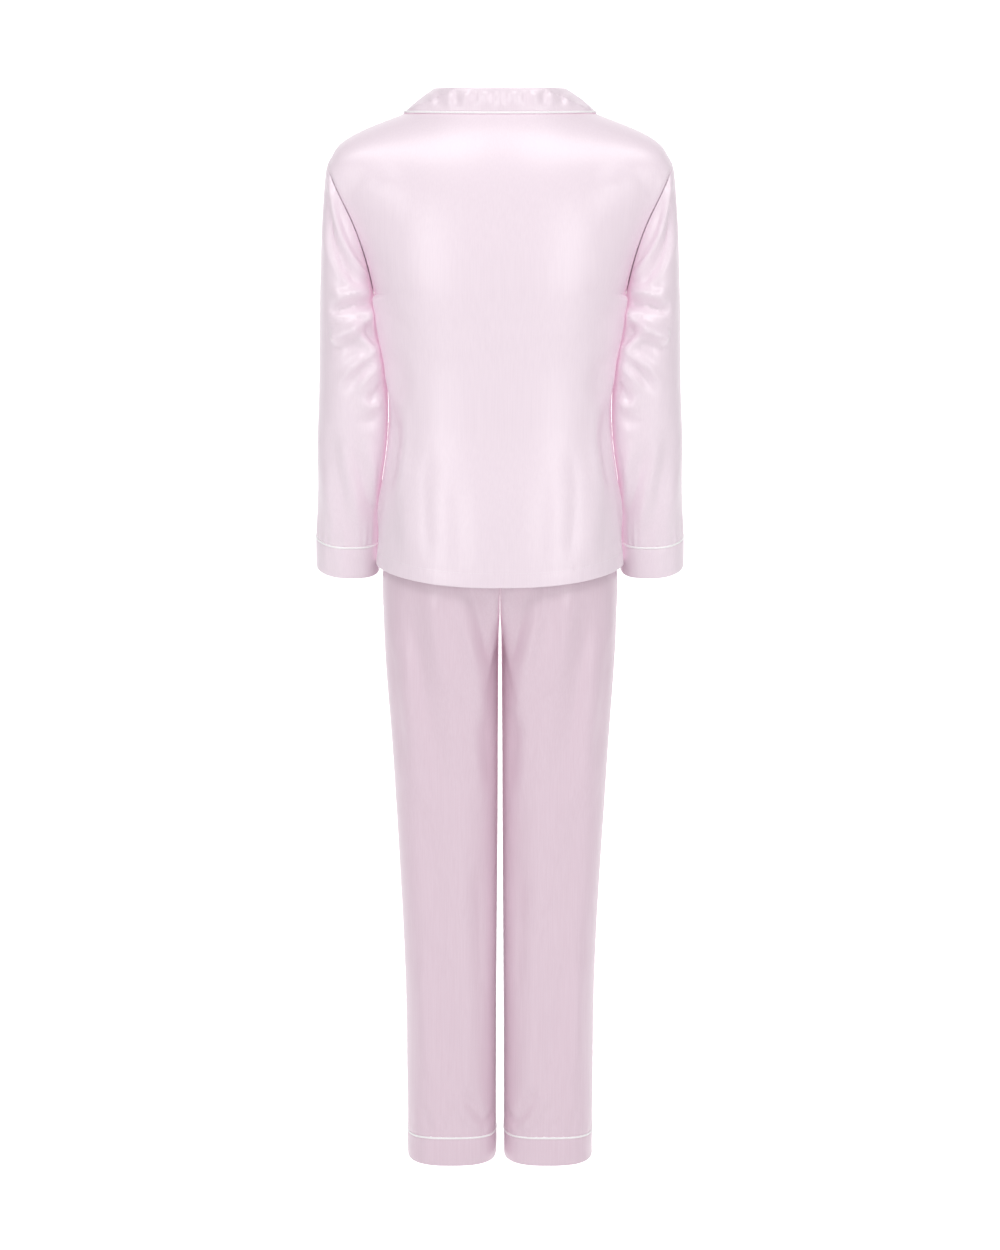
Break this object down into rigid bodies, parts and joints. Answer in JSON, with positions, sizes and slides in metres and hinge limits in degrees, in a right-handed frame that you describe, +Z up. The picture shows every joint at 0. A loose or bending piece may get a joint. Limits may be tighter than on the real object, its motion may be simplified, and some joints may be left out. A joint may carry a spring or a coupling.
{
  "type": "pyjama set",
  "caption": "Satin pyjama set as worn: long-sleeved shirt with turned-down collar and piped cuffs, over straight trousers with piped hem bands.",
  "frame": {"origin": "midway between the two neck points of the shirt, at the height where the shoulder seams meet the neck", "axes": "+Z up, +Y to the wearer's front, +X to the wearer's right"},
  "size_m": [0.504, 0.2584, 1.4629],
  "materials": {
    "shirt_satin": "satin",
    "trouser_satin": "satin",
    "piping": "satin",
    "button": "gloss"
  },
  "bodies": {
    "root": {"shirt_back": "shirt_satin", "collar": "shirt_satin", "shirt_front_left": "shirt_satin", "shirt_front_right": "shirt_satin", "lapel_left": "shirt_satin", "lapel_right": "shirt_satin", "sleeve_left": "shirt_satin", "sleeve_right": "shirt_satin", "cuff_left": "shirt_satin", "cuff_right": "shirt_satin", "trouser_back_left": "trouser_satin", "trouser_back_right": "trouser_satin", "trouser_front_left": "trouser_satin", "trouser_front_right": "trouser_satin", "waistband": "trouser_satin", "hem_band_left": "trouser_satin", "hem_band_right": "trouser_satin", "collar_piping": "piping", "lapel_piping_left": "piping", "lapel_piping_right": "piping", "cuff_piping_left": "piping", "cuff_piping_right": "piping", "hem_piping_left": "piping", "hem_piping_right": "piping", "button_1": "button", "button_2": "button", "button_3": "button", "button_4": "button", "button_5": "button"}
  },
  "joints": []
}
